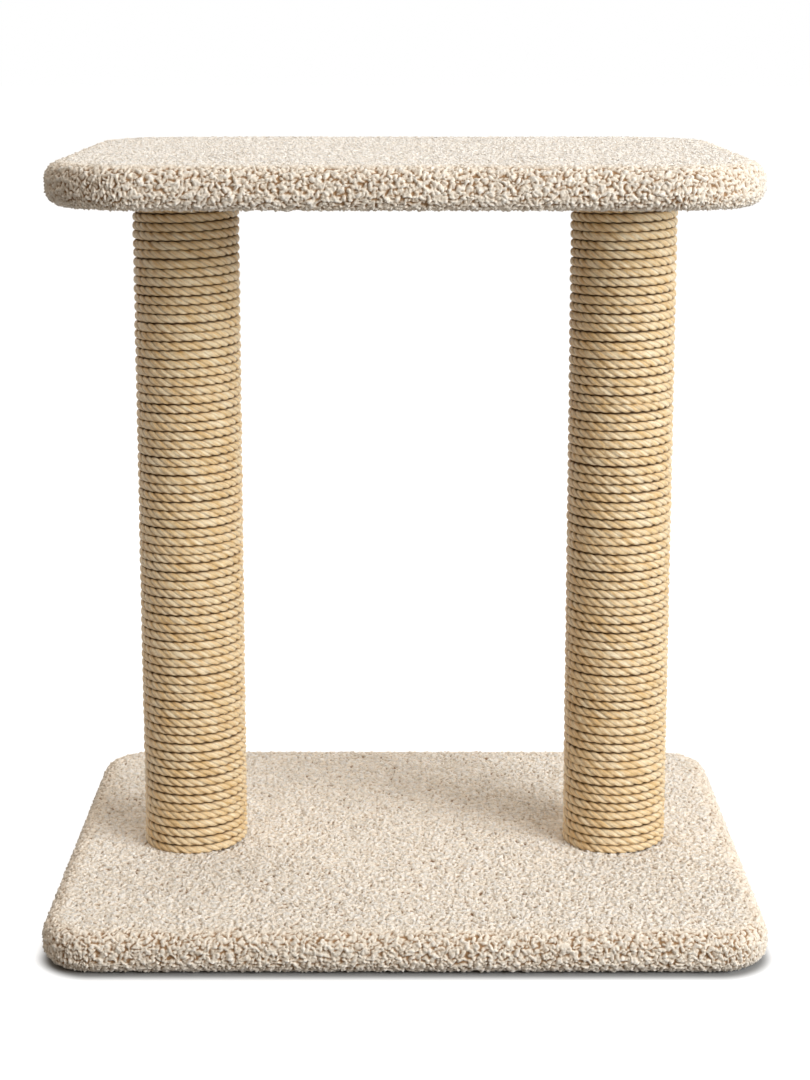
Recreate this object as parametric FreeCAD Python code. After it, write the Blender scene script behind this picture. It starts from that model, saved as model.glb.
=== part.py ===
import FreeCAD, Part
import math
import os

# Cat scratching post: a carpeted base and a carpeted platform, bolted to the two ends of
# two cardboard posts that are wound with sisal rope.
# Millimetres. X runs along the width, Y from front to back, Z up. The origin is on the floor,
# under the middle of the base.

Vector = FreeCAD.Vector
Z_AXIS = Vector(0, 0, 1)

# Base and platform, measured over their carpet
base_width = 500.0
base_depth = 400.0
base_corner_radius = 38.0
platform_inset = 10.0
platform_corner_radius = 70.0

# Boards inside the carpet
board_thickness = 18.0
board_edge_radius = 4.0

# Carpet: wrapped over the top and the edges, then turned under and stapled
carpet_thickness = 6.0
carpet_backing = 2.0
carpet_edge_radius = 12.0
turn_under = 30.0
turn_under_corner_radius = 10.0
corner_slit_width = 2.0
corner_slit_margin = 6.0
lining_gap = 0.3

# Posts
post_inset = 93.0
post_forward = 10.0
post_length = 492.0
tube_diameter = 64.0
tube_wall = 4.0
plug_length = 30.0
plug_clearance = 0.15
seat_clearance = 0.3

# Rope winding
rope_diameter = 6.0
rope_turn_gap = 0.45
rope_tube_gap = 0.1
rope_end_gap = 0.3
rope_start_angle = math.radians(90)

# Brads that hold the rope's ends, and pins that hold the plugs in the tube
brad_diameter = 1.6
brad_length = 15.0
brad_sunk = 0.2
pin_diameter = 1.8
pin_length = 18.0
pins_per_plug = 4

# Tee nuts, studs, bolts and washers
thread_diameter = 8.0
thread_clearance = 0.1
bolt_hole_clearance = 0.5
tee_nut_barrel_diameter = 10.0
tee_nut_barrel_length = 11.0
tee_nut_flange_diameter = 22.0
tee_nut_flange_thickness = 1.5
tee_nut_prong_length = 6.0
tee_nut_prong_width = 4.0
tee_nut_prongs = 4
stud_cover = 2.0
thread_overhang = 3.0
bolt_head_flats = 13.0
bolt_head_height = 5.3
bolt_head_chamfer = 0.8
bolt_head_recess = 0.7
washer_diameter = 24.0
washer_thickness = 2.0
counterbore_clearance = 0.5

# Carpet staples
staple_crown = 10.0
staple_leg = 10.0
staple_wire = 1.0
staple_spacing = 60.0
staple_inset = 20.0
staple_clearance = 0.3

# Cuts run past the faces that they open by this much
overrun = 1.0

# Widths that follow from the sizes above
platform_width = base_width - 2 * platform_inset
platform_depth = base_depth - 2 * platform_inset
post_spacing = base_width - 2 * post_inset

# Heights that follow from the sizes above
base_board_bottom = carpet_thickness
base_board_top = base_board_bottom + board_thickness
base_top = base_board_top + carpet_thickness
post_bottom = base_board_top + carpet_backing
post_top = post_bottom + post_length
platform_board_bottom = post_top + carpet_backing
platform_board_top = platform_board_bottom + board_thickness
platform_bottom = platform_board_bottom - carpet_thickness
counterbore_top = base_board_bottom + washer_thickness + bolt_head_height + bolt_head_recess

# Radii that several pieces share
rope_radius = rope_diameter / 2
tube_radius = tube_diameter / 2
tube_bore_radius = tube_radius - tube_wall
plug_radius = tube_bore_radius - plug_clearance
winding_radius = tube_radius + rope_tube_gap + rope_radius
winding_reach = math.hypot(winding_radius, rope_diameter) + rope_radius
seat_radius = winding_reach + seat_clearance
thread_radius = thread_diameter / 2
bolt_hole_radius = thread_radius + bolt_hole_clearance


def cylinder(radius, bottom, top):
    """Upright cylinder on the Z axis between two heights."""
    return Part.makeCylinder(radius, top - bottom, Vector(0, 0, bottom), Z_AXIS)


def bolt_hole():
    """Clearance hole on a post's axis, through everything that its bolt and stud pass."""
    return cylinder(bolt_hole_radius, -overrun, platform_board_top + overrun)


def outline(width, depth, radius, height):
    """Rounded rectangle about the Z axis, as a face at one height."""
    edges = []
    corners = ((1, 1), (-1, 1), (-1, -1), (1, -1))
    arcs = []
    for index, (side_x, side_y) in enumerate(corners):
        centre = Vector(side_x * (width / 2 - radius), side_y * (depth / 2 - radius), height)
        angles = [math.radians(90 * index + step) for step in (0, 45, 90)]
        arcs.append([centre + Vector(math.cos(a), math.sin(a), 0) * radius for a in angles])
    for arc, following in zip(arcs, arcs[1:] + arcs[:1]):
        edges.append(Part.Arc(*arc).toShape())
        edges.append(Part.makeLine(arc[-1], following[0]))
    return Part.Face(Part.Wire(edges))


def slab(width, depth, corner_radius, bottom, thickness, edge_radius):
    """Board or carpet block with rounded corners and eased upper and lower edges."""
    block = outline(width, depth, corner_radius, bottom).extrude(Z_AXIS * thickness)
    level = [edge for edge in block.Edges if edge.BoundBox.ZLength < edge_radius]
    return block.makeFillet(edge_radius, level)


class Deck:
    """One carpeted board: its sizes, and the places where its carpet is turned under."""

    def __init__(self, width, depth, corner_radius, bottom):
        self.width = width
        self.depth = depth
        self.corner_radius = corner_radius
        self.bottom = bottom
        self.board_bottom = bottom + carpet_thickness
        self.board_width = width - 2 * carpet_thickness
        self.board_depth = depth - 2 * carpet_thickness
        self.board_corner_radius = corner_radius - carpet_thickness
        self.opening_width = self.board_width - 2 * turn_under
        self.opening_depth = self.board_depth - 2 * turn_under

    def board(self):
        return slab(self.board_width, self.board_depth, self.board_corner_radius,
                    self.board_bottom, board_thickness, board_edge_radius)

    def carpet(self):
        """Wrapped carpet, open underneath inside its turned-under edge, slit at each corner."""
        thickness = board_thickness + 2 * carpet_thickness
        block = slab(self.width, self.depth, self.corner_radius,
                     self.bottom, thickness, carpet_edge_radius)
        opening = outline(self.opening_width, self.opening_depth, turn_under_corner_radius,
                          self.bottom - overrun)
        opening = opening.extrude(Z_AXIS * (carpet_thickness + 2 * overrun))
        return block.cut([self.board(), opening] + self.corner_slits())

    def corner_slits(self):
        """Slits that let the carpet turn under at the round corners, along the diagonals."""
        rounding_share = 1 - math.cos(math.pi / 4)
        outer_inset = self.board_corner_radius * rounding_share
        inner_inset = turn_under + turn_under_corner_radius * rounding_share
        start = outer_inset * math.sqrt(2) + corner_slit_margin
        length = inner_inset * math.sqrt(2) + overrun - start
        slits = []
        for side_x, side_y in ((1, 1), (-1, 1), (-1, -1), (1, -1)):
            corner = Vector(side_x * self.board_width / 2, side_y * self.board_depth / 2, 0)
            inward = Vector(-side_x, -side_y, 0).normalize()
            across = Z_AXIS.cross(inward) * (corner_slit_width / 2)
            near = corner + inward * start + Z_AXIS * (self.bottom - overrun)
            far = near + inward * length
            points = [near - across, near + across, far + across, far - across]
            face = Part.Face(Part.makePolygon(points + points[:1]))
            slits.append(face.extrude(Z_AXIS * (carpet_thickness + overrun)))
        return slits

    def lining(self):
        """Carpet panel that fills the opening underneath."""
        face = outline(self.opening_width - 2 * lining_gap, self.opening_depth - 2 * lining_gap,
                       turn_under_corner_radius - lining_gap, self.bottom)
        return face.extrude(Z_AXIS * carpet_thickness)

    def staple_places(self):
        """Centre and direction of each staple along the four turned-under edges."""
        places = []
        sides = ((self.opening_width, self.board_depth / 2 - staple_inset, 0),
                 (self.opening_depth, self.board_width / 2 - staple_inset, 90))
        for opening_length, offset, angle in sides:
            run = opening_length - 2 * turn_under_corner_radius
            count = max(2, int(run / staple_spacing) + 1)
            for index in range(count):
                along = -run / 2 + run * index / (count - 1)
                for side in (-1, 1):
                    places.append((along, side * offset, angle))
        return places

    def staples(self):
        """Staples whose crowns crush the pile and whose legs reach into the board."""
        crown_top = self.board_bottom - carpet_backing
        return [place_staple(staple(crown_top), place) for place in self.staple_places()]

    def staple_dents(self):
        """Room in the pile under each staple's crown."""
        length = staple_crown + 2 * staple_clearance
        width = staple_wire + 2 * staple_clearance
        height = carpet_thickness - carpet_backing + overrun
        corner = Vector(-length / 2, -width / 2, self.bottom - overrun)
        dent = Part.makeBox(length, width, height, corner)
        return [place_staple(dent, place) for place in self.staple_places()]


def staple(crown_top):
    """One staple, crown down and legs up, over the origin and along X."""
    half = staple_crown / 2
    crown_bottom = crown_top - staple_wire
    leg_top = crown_bottom + staple_leg
    inner = half - staple_wire
    profile = [(-half, crown_bottom), (half, crown_bottom), (half, leg_top), (inner, leg_top),
               (inner, crown_top), (-inner, crown_top), (-inner, leg_top), (-half, leg_top)]
    points = [Vector(x, -staple_wire / 2, z) for x, z in profile]
    return Part.Face(Part.makePolygon(points + points[:1])).extrude(Vector(0, staple_wire, 0))


def place_staple(shape, place):
    """Copy of a shape, moved along an edge and turned to run with it."""
    along, offset, angle = place
    moved = shape.copy()
    moved.translate(Vector(along, offset, 0))
    moved.rotate(Vector(0, 0, 0), Z_AXIS, angle)
    return moved


def tee_nut(flange_face, upward):
    """Tee nut whose flange bears on the wood at flange_face; its barrel points up or down."""
    barrel = cylinder(tee_nut_barrel_diameter / 2, 0, tee_nut_barrel_length)
    flange = cylinder(tee_nut_flange_diameter / 2, -tee_nut_flange_thickness, 0)
    prong = Part.makeBox(tee_nut_flange_thickness, tee_nut_prong_width,
                         tee_nut_prong_length + tee_nut_flange_thickness,
                         Vector(tee_nut_flange_diameter / 2 - 2 * tee_nut_flange_thickness,
                                -tee_nut_prong_width / 2, -tee_nut_flange_thickness))
    prongs = []
    for index in range(tee_nut_prongs):
        turned = prong.copy()
        turned.rotate(Vector(0, 0, 0), Z_AXIS, 360 * index / tee_nut_prongs)
        prongs.append(turned)
    bore = cylinder(thread_radius + thread_clearance, -tee_nut_flange_thickness - overrun,
                    tee_nut_barrel_length + overrun)
    nut = barrel.fuse([flange] + prongs).removeSplitter().cut(bore)
    if not upward:
        nut.rotate(Vector(0, 0, 0), Vector(1, 0, 0), 180)
    nut.translate(Vector(0, 0, flange_face))
    return nut


def hex_bolt(head_bottom, tip):
    """Hexagon-head bolt, head down, with its shank up to tip."""
    corner_radius = bolt_head_flats / math.sqrt(3)
    points = [Vector(corner_radius * math.cos(math.radians(angle)),
                     corner_radius * math.sin(math.radians(angle)), head_bottom)
              for angle in range(0, 360, 60)]
    head = Part.Face(Part.makePolygon(points + points[:1])).extrude(Z_AXIS * bolt_head_height)
    chamfer = Part.makeCone(bolt_head_flats / 2, corner_radius, bolt_head_chamfer,
                            Vector(0, 0, head_bottom), Z_AXIS)
    rim = cylinder(corner_radius, head_bottom + bolt_head_chamfer, head_bottom + bolt_head_height)
    head = head.common(chamfer.fuse(rim))
    return head.fuse(cylinder(thread_radius, head_bottom + bolt_head_height, tip)).removeSplitter()


def radial_pin(diameter, outer_radius, length, angle, height):
    """Headless pin that points at the Z axis, its outer end at outer_radius."""
    outward = Vector(math.cos(angle), math.sin(angle), 0)
    start = outward * (outer_radius - length) + Z_AXIS * height
    return Part.makeCylinder(diameter / 2, length, start, outward)


def plug_pins(height):
    """Ring of pins through the tube into a plug, clear of the rope's brads."""
    step = 2 * math.pi / pins_per_plug
    return [radial_pin(pin_diameter, tube_radius, pin_length, step * (index + 0.5), height)
            for index in range(pins_per_plug)]


class Winding:
    """Rope round one post: an even helix from end to end, with a short straight tip at each end."""

    def __init__(self):
        tip_turn_share = rope_diameter / (2 * math.pi * winding_radius)
        rise = post_length - rope_diameter - 2 * rope_end_gap
        self.turns = int(rise / (rope_diameter + rope_turn_gap) - 2 * tip_turn_share)
        self.pitch = rise / (self.turns + 2 * tip_turn_share)
        self.start_height = (post_bottom + rope_end_gap + rope_radius
                             + self.pitch * tip_turn_share)

    def point(self, turn):
        angle = rope_start_angle + 2 * math.pi * turn
        return Vector(winding_radius * math.cos(angle), winding_radius * math.sin(angle),
                      self.start_height + self.pitch * turn)

    def direction(self, turn):
        angle = rope_start_angle + 2 * math.pi * turn
        around = 2 * math.pi * winding_radius
        return Vector(-around * math.sin(angle), around * math.cos(angle), self.pitch).normalize()

    def tips(self):
        """Outer end of the straight tip at the bottom and at the top."""
        return (self.point(0) - self.direction(0) * rope_diameter,
                self.point(self.turns) + self.direction(self.turns) * rope_diameter)

    def path(self):
        first_tip, last_tip = self.tips()
        edges = [Part.makeLine(first_tip, self.point(0))]
        for half_turn in range(2 * self.turns):
            start = half_turn / 2
            end = (half_turn + 1) / 2
            edges += biarc(self.point(start), self.direction(start),
                           self.point(end), self.direction(end))
        edges.append(Part.makeLine(self.point(self.turns), last_tip))
        return Part.Wire(edges)

    def brads(self):
        """Brad through the middle of each straight tip, into the tube and its plug."""
        brads = []
        for tip, turn in zip(self.tips(), (0, self.turns)):
            middle = (tip + self.point(turn)) * 0.5
            angle = math.atan2(middle.y, middle.x)
            outer_radius = math.hypot(middle.x, middle.y) + rope_radius - brad_sunk
            brads.append(radial_pin(brad_diameter, outer_radius, brad_length, angle, middle.z))
        return brads

    def rope(self):
        path = self.path()
        ring = Part.makeCircle(rope_radius, self.tips()[0], self.direction(0))
        shell = Part.BRepOffsetAPI.MakePipeShell(path)
        shell.add(Part.Wire([ring]))
        shell.build()
        shell.makeSolid()
        rope = shell.shape()
        section = math.pi * rope_radius ** 2
        print("rope turns", self.turns, "pitch", round(self.pitch, 3),
              "length", round(path.Length, 1),
              "volume over section times length", round(rope.Volume / (section * path.Length), 6))
        print("least gap of the rope to itself", round(self.least_gap(path), 3))
        return rope.cut(self.brads())

    def least_gap(self, path):
        """Smallest distance between neighbouring turns, surface to surface, on points."""
        points_per_edge = 24
        edges_per_turn = 4
        points = []
        for edge in path.OrderedEdges:
            points += edge.discretize(points_per_edge)[1:]
        skip = points_per_edge * edges_per_turn // 2
        reach = points_per_edge * edges_per_turn * 3 // 2
        least = min(
            (points[first] - points[second]).Length
            for first in range(len(points))
            for second in range(first + skip, min(first + reach, len(points)))
        )
        return least - rope_diameter


def biarc(start, start_direction, end, end_direction):
    """Two arcs that join two points and leave and meet them in the given directions."""
    span = end - start
    both = start_direction + end_direction
    square = 2 * (1 - start_direction.dot(end_direction))
    linear = 2 * span.dot(both)
    reach = (math.sqrt(linear ** 2 + 4 * square * span.dot(span)) - linear) / (2 * square)
    first_control = start + start_direction * reach
    second_control = end - end_direction * reach
    joint = (first_control + second_control) * 0.5
    return [arc_edge(start, first_control, joint), arc_edge(joint, second_control, end)]


def arc_edge(start, control, end):
    """Arc between two points whose end tangents meet at the control point."""
    weight = (end - start).Length / 2 / (control - start).Length
    middle = (start + control * (2 * weight) + end) * (1 / (2 * (1 + weight)))
    return Part.Arc(start, middle, end).toShape()


def at_post(shape, side):
    """Copy of a shape made on the Z axis, moved to the post on one side."""
    moved = shape.copy()
    moved.translate(Vector(side * post_spacing / 2, -post_forward, 0))
    return moved


def at_both_posts(shape):
    return [at_post(shape, side) for side in (-1, 1)]


def post_pieces():
    """Pieces of one post and its fasteners, made on the Z axis."""
    bottom_plug_top = post_bottom + plug_length
    top_plug_bottom = post_top - plug_length
    head_bottom = counterbore_top - washer_thickness - bolt_head_height
    bottom_nut = tee_nut(bottom_plug_top, False)
    top_nut = tee_nut(top_plug_bottom, True)
    platform_nut = tee_nut(platform_board_top - tee_nut_flange_thickness, False)
    bolt_tip = bottom_plug_top + tee_nut_flange_thickness + thread_overhang
    stud_bottom = top_plug_bottom - tee_nut_flange_thickness - thread_overhang
    winding = Winding()
    brads = winding.brads()
    bottom_pins = plug_pins(post_bottom + plug_length / 2)
    top_pins = plug_pins(post_top - plug_length / 2)
    tube = cylinder(tube_radius, post_bottom, post_top)
    bore = cylinder(tube_bore_radius, post_bottom - overrun, post_top + overrun)
    bottom_plug = cylinder(plug_radius, post_bottom, bottom_plug_top)
    top_plug = cylinder(plug_radius, top_plug_bottom, post_top)
    washer = cylinder(washer_diameter / 2, counterbore_top - washer_thickness, counterbore_top)
    return {
        "post_tube": tube.cut([bore] + bottom_pins + top_pins + brads),
        "post_rope": winding.rope(),
        "post_rope_brads": Part.makeCompound(brads),
        "post_plug_pins": Part.makeCompound(bottom_pins + top_pins),
        "post_bottom_plug": bottom_plug.cut([bolt_hole(), bottom_nut] + bottom_pins + brads),
        "post_top_plug": top_plug.cut([bolt_hole(), top_nut] + top_pins + brads),
        "post_bottom_tee_nut": bottom_nut,
        "post_top_tee_nut": top_nut,
        "platform_tee_nut": platform_nut,
        "platform_stud": cylinder(thread_radius, stud_bottom, platform_board_top - stud_cover),
        "base_bolt": hex_bolt(head_bottom, bolt_tip),
        "base_washer": washer.cut(bolt_hole()),
    }


def base_pieces():
    deck = Deck(base_width, base_depth, base_corner_radius, 0)
    staples = deck.staples()
    recess_radius = washer_diameter / 2 + counterbore_clearance
    recess = cylinder(recess_radius, base_board_bottom - overrun, counterbore_top)
    seat = cylinder(seat_radius, post_bottom, base_top + overrun)
    holes = at_both_posts(bolt_hole())
    board_cuts = at_both_posts(recess) + holes + staples
    carpet_cuts = at_both_posts(seat) + holes + deck.staple_dents() + staples
    return {
        "base_board": deck.board().cut(board_cuts),
        "base_carpet": deck.carpet().cut(carpet_cuts),
        "base_staples": Part.makeCompound(staples),
    }


def platform_pieces(platform_nut):
    deck = Deck(platform_width, platform_depth, platform_corner_radius, platform_bottom)
    staples = deck.staples()
    seats = at_both_posts(cylinder(seat_radius, platform_bottom - overrun, post_top))
    holes = at_both_posts(bolt_hole())
    board_cuts = holes + at_both_posts(platform_nut) + staples
    carpet_cuts = seats + deck.staple_dents() + staples
    return {
        "platform_board": deck.board().cut(board_cuts),
        "platform_carpet": deck.carpet().cut(carpet_cuts),
        "platform_lining": deck.lining().cut(seats + holes),
        "platform_staples": Part.makeCompound(staples),
    }


def build():
    post = post_pieces()
    nodes = base_pieces()
    nodes.update(platform_pieces(post["platform_tee_nut"]))
    for name, shape in post.items():
        nodes["left_" + name] = at_post(shape, -1)
        nodes["right_" + name] = at_post(shape, 1)
    return nodes


os.makedirs("parts", exist_ok=True)
for node_name, node_shape in build().items():
    node_shape.exportStep("parts/" + node_name + ".step")
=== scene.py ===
import math

import bpy
import numpy as np
from bpy.props import FloatProperty, FloatVectorProperty, IntProperty, PointerProperty
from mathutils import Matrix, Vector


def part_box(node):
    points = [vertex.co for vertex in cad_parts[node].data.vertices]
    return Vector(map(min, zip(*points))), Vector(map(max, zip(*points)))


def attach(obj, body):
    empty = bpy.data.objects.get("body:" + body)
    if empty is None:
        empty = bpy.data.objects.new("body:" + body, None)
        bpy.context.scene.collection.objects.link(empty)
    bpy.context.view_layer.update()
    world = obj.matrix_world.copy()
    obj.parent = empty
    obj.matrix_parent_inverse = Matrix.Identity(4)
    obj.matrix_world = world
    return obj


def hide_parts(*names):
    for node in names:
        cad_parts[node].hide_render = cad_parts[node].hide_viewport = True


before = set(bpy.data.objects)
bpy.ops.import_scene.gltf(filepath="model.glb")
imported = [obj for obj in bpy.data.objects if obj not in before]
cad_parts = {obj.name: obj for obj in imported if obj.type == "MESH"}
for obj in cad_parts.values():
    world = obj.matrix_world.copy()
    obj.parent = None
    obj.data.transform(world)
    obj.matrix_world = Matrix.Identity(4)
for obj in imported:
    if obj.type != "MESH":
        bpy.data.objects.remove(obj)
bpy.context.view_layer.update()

bl_info = {
    "name": "Scratching post",
    "version": (1, 0, 0),
    "blender": (4, 5, 0),
    "location": "3D View > Sidebar > Scratching post",
    "description": "Covers a scratching post's boards with looped carpet and its posts with laid rope",
    "category": "Object",
}

SIDES = ("left", "right")


def size_property(name, description, default):
    return FloatProperty(name=name, description=description, default=default,
                         unit="LENGTH", precision=5)


def colour_property(name, description, default):
    return FloatVectorProperty(name=name, description=description, default=default,
                               subtype="COLOR", size=3, min=0.0, max=1.0)


def level_property(name, description, default):
    return FloatProperty(name=name, description=description, default=default, min=0.0)


def power_property(name, description, default):
    return FloatProperty(name=name, description=description, default=default,
                         unit="POWER", min=0.0)


def angle_property(name, description, degrees):
    return FloatProperty(name=name, description=description, default=math.radians(degrees),
                         subtype="ANGLE")


class CarpetSettings(bpy.types.PropertyGroup):
    """Sizes and colours of the looped carpet."""

    base_corner: size_property(
        "Base corner", "Corner radius of the base over its carpet", 0.038)
    platform_corner: size_property(
        "Platform corner", "Corner radius of the platform over its carpet", 0.070)
    edge_radius: size_property(
        "Edge radius", "Rounding of the carpet over an edge of its board", 0.012)
    thickness: size_property(
        "Thickness", "Carpet from its backing to the tips of the loops", 0.006)
    turned_under: size_property(
        "Turned under", "Flat strip of carpet that shows under a board", 0.024)
    lining_corner: size_property(
        "Lining corner", "Corner radius of the panel under the platform", 0.0097)
    lining_edge: size_property(
        "Lining edge", "Rounding of the panel's edge", 0.002)
    loop_spacing: size_property(
        "Loop spacing", "Distance from one loop to the next", 0.0022)
    knob_spacing: size_property(
        "Knob spacing", "Distance between the loops that stand apart over an edge", 0.0023)
    loop_depth: size_property(
        "Loop depth", "Height of the tips over the deepest gaps", 0.0030)
    tip_rise: size_property(
        "Tip rise", "How far the tips stand out of the carpet's size", 0.0006)
    clump_spacing: size_property(
        "Clump spacing", "Distance from one clump of loops to the next", 0.0065)
    loop_lean: size_property(
        "Loop lean", "Sideways shift of a leaning loop's tip", 0.0007)
    step: size_property(
        "Mesh step", "Distance between the points of the mesh", 0.0007)
    seed: IntProperty(name="Seed", description="Start of the random loops", default=7)
    # Painted highlight: the tips are paler than the loops' sides, though all are one yarn.
    tip_highlight_colour: colour_property(
        "Tips", "Colour of the loops' tips", (0.94, 0.905, 0.86))
    yarn_colour: colour_property(
        "Yarn", "Colour of the loops' sides", (0.88, 0.775, 0.645))
    # Painted shade between the loops; at the very bottom it also stands for the darker backing.
    gap_shade_colour: colour_property(
        "Gaps", "Colour deep between the loops", (0.35, 0.205, 0.10))


class RopeSettings(bpy.types.PropertyGroup):
    """Sizes and colours of the rope on the posts."""

    diameter: size_property("Diameter", "Rope across its strands", 0.0064)
    winding_radius: size_property(
        "Winding radius", "Middle of the rope from the post's axis", 0.0351)
    turns: IntProperty(name="Turns", description="Turns on each post", default=75)
    end_length: size_property("End", "Straight end of the rope at its brad", 0.006)
    lay: size_property("Lay", "Length in which a strand goes once round the rope", 0.0222)
    wander: size_property("Wander", "How far a turn strays from an even winding", 0.00020)
    seed: IntProperty(name="Seed", description="Start of the random winding", default=21)
    colour: colour_property("Fibre", "Colour of the strands", (0.87, 0.57, 0.23))
    pale_colour: colour_property("Pale fibre", "Colour of bleached strands", (0.94, 0.79, 0.54))
    # Painted shade in the grooves between the strands and between the turns.
    gap_shade_colour: colour_property("Gaps", "Colour between the strands", (0.24, 0.105, 0.03))


class CoreSettings(bpy.types.PropertyGroup):
    """Colours of the pieces inside the posts and under the carpet."""

    board_colour: colour_property("Board", "Particle board", (0.50, 0.36, 0.21))
    cardboard_colour: colour_property("Cardboard", "Post tubes", (0.38, 0.25, 0.14))
    wood_colour: colour_property("Wood", "Plugs in the tubes", (0.62, 0.43, 0.24))
    zinc_colour: colour_property("Zinc", "Bolts, nuts and washers", (0.66, 0.67, 0.68))
    staple_colour: colour_property("Staples", "Staples, pins and brads", (0.58, 0.58, 0.57))


class StageSettings(bpy.types.PropertyGroup):
    """Floor, light and camera."""

    floor_colour: colour_property("Floor", "Colour of the floor", (0.34, 0.34, 0.34))
    floor_glow: level_property("Floor glow", "Light of the floor to the camera", 0.87)
    # Painted contact shadow: the floor's glow to the camera fades in from under the base out to this
    # distance from it.
    fade: size_property("Fade", "Distance from the base at which the floor is all white", 0.007)
    sky_low: level_property("Sky at the sides", "Light from the horizon", 0.04)
    sky_high: level_property("Sky overhead", "Light from straight above", 0.80)
    side_tint: colour_property("Side tint", "Colour of the light from the sides", (1.0, 0.80, 0.58))
    top_tint: colour_property("Top tint", "Colour of the light from above", (1.0, 0.965, 0.92))
    key_power: power_property("Key light", "Power of the low lamp at the right", 36.5)
    key_colour: colour_property("Key colour", "Colour of the low lamp", (0.90, 0.96, 1.0))
    key_width: size_property("Key width", "Low lamp from side to side", 1.3)
    key_height: size_property("Key height", "Low lamp from top to bottom", 0.5)
    key_azimuth: angle_property("Key azimuth", "Low lamp to the right of the camera", 54)
    key_elevation: angle_property("Key elevation", "Low lamp over the middle of the post", 16)
    fill_power: power_property("Fill light", "Power of the high lamp in front", 31.0)
    fill_colour: colour_property("Fill colour", "Colour of the high lamp", (0.96, 0.98, 1.0))
    fill_width: size_property("Fill width", "High lamp from side to side", 1.6)
    fill_height: size_property("Fill height", "High lamp from top to bottom", 1.2)
    fill_azimuth: angle_property("Fill azimuth", "High lamp to the right of the camera", 42)
    fill_elevation: angle_property("Fill elevation", "High lamp over the middle of the post", 30)
    back_power: power_property("Back light", "Power of the lamp behind the post", 27.0)
    back_colour: colour_property("Back colour", "Colour of the lamp behind", (1.0, 0.98, 0.95))
    back_width: size_property("Back width", "Lamp behind from side to side", 2.6)
    back_height: size_property("Back height", "Lamp behind from top to bottom", 1.8)
    back_azimuth: angle_property("Back azimuth", "Lamp behind to the right of the camera", 190)
    back_elevation: angle_property("Back elevation", "Lamp behind over the middle of the post", 45)
    lamp_distance: size_property("Lamp distance", "Lamps from the middle of the post", 2.6)
    camera_distance: size_property("Camera distance", "Camera in front of the post", 1.6282)
    camera_height: size_property("Camera height", "Camera over the floor", 0.6361)
    camera_pitch: angle_property("Camera pitch", "Downward tilt of the camera", 10.59)
    lens: FloatProperty(name="Lens", description="Focal length in millimetres", default=75.21)
    shift: FloatProperty(name="Shift", description="Upward shift of the frame", default=-0.0926)


class Value:
    """A socket of a material's nodes that takes part in sums like a number."""

    def __init__(self, finish, socket):
        self.finish = finish
        self.socket = socket

    def maths(self, operation, *terms):
        return self.finish.node("Math", {"operation": operation}, dict(enumerate(terms)))

    def __add__(self, other):
        return self.maths("ADD", self, other)

    def __radd__(self, other):
        return self.maths("ADD", other, self)

    def __sub__(self, other):
        return self.maths("SUBTRACT", self, other)

    def __rsub__(self, other):
        return self.maths("SUBTRACT", other, self)

    def __mul__(self, other):
        return self.maths("MULTIPLY", self, other)

    def __rmul__(self, other):
        return self.maths("MULTIPLY", other, self)

    def between(self, low, high):
        """Smooth share from 0 at low to 1 at high."""
        return self.finish.node(
            "MapRange", {"interpolation_type": "SMOOTHSTEP"},
            {"Value": self, "From Min": low, "From Max": high})


class Finish:
    """A material, or the world, built from nodes."""

    def __init__(self, name, owner=None):
        self.owner = owner or bpy.data.materials.new(name)
        self.owner.use_nodes = True
        self.tree = self.owner.node_tree
        self.tree.nodes.clear()

    def node(self, kind, settings=None, sockets=None, output=0):
        """Adds a node: its settings first, then the values or links of its sockets."""
        node = self.tree.nodes.new("ShaderNode" + kind)
        for name, value in (settings or {}).items():
            setattr(node, name, value)
        for key, value in (sockets or {}).items():
            if isinstance(value, Value):
                self.tree.links.new(value.socket, node.inputs[key])
            elif node.inputs[key].type == "RGBA":
                node.inputs[key].default_value = (*value[:3], 1.0)
            else:
                node.inputs[key].default_value = value
        return Value(self, node.outputs[output]) if node.outputs else None

    def mix(self, share, first, second, blend="MIX"):
        """Colour between two colours."""
        settings = {"data_type": "RGBA", "blend_type": blend}
        return self.node("Mix", settings, {0: share, 6: first, 7: second}, output=2)

    def place(self):
        return self.node("TexCoord", output="Object")

    def attribute(self, name):
        return self.node("Attribute", {"attribute_name": name}, output="Fac")

    def noise(self, place, scale, detail=2.0):
        return self.node("TexNoise", None, {
            "Vector": place, "Scale": scale, "Detail": detail}, "Fac")

    def toned(self, colour, tone):
        """Colour made darker or paler all through."""
        grey = self.node("CombineColor", None, {"Red": tone, "Green": tone, "Blue": tone})
        return self.mix(1.0, colour, grey, "MULTIPLY")

    def seen(self):
        """1 for what the camera, a gloss or clear glass sees, and 0 for other light."""
        camera, glossy, clear = (self.node("LightPath", None, None, "Is " + ray + " Ray")
                                 for ray in ("Camera", "Glossy", "Transmission"))
        return camera.maths("MINIMUM", camera + glossy + clear, 1.0)

    def stretched(self, place, scale):
        return self.node("VectorMath", {"operation": "MULTIPLY"}, {0: place, 1: scale})

    def surface(self, colour, roughness, height, rise, constants=None):
        """Principled shader with a bump, as the material's surface."""
        bump = self.node("Bump", None, {"Strength": 1.0, "Distance": rise, "Height": height})
        sockets = {"Base Color": colour, "Roughness": roughness, "Normal": bump}
        sockets.update(constants or {})
        shader = self.node("BsdfPrincipled", None, sockets, "BSDF")
        self.node("OutputMaterial", None, {"Surface": shader})
        return self.owner


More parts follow.
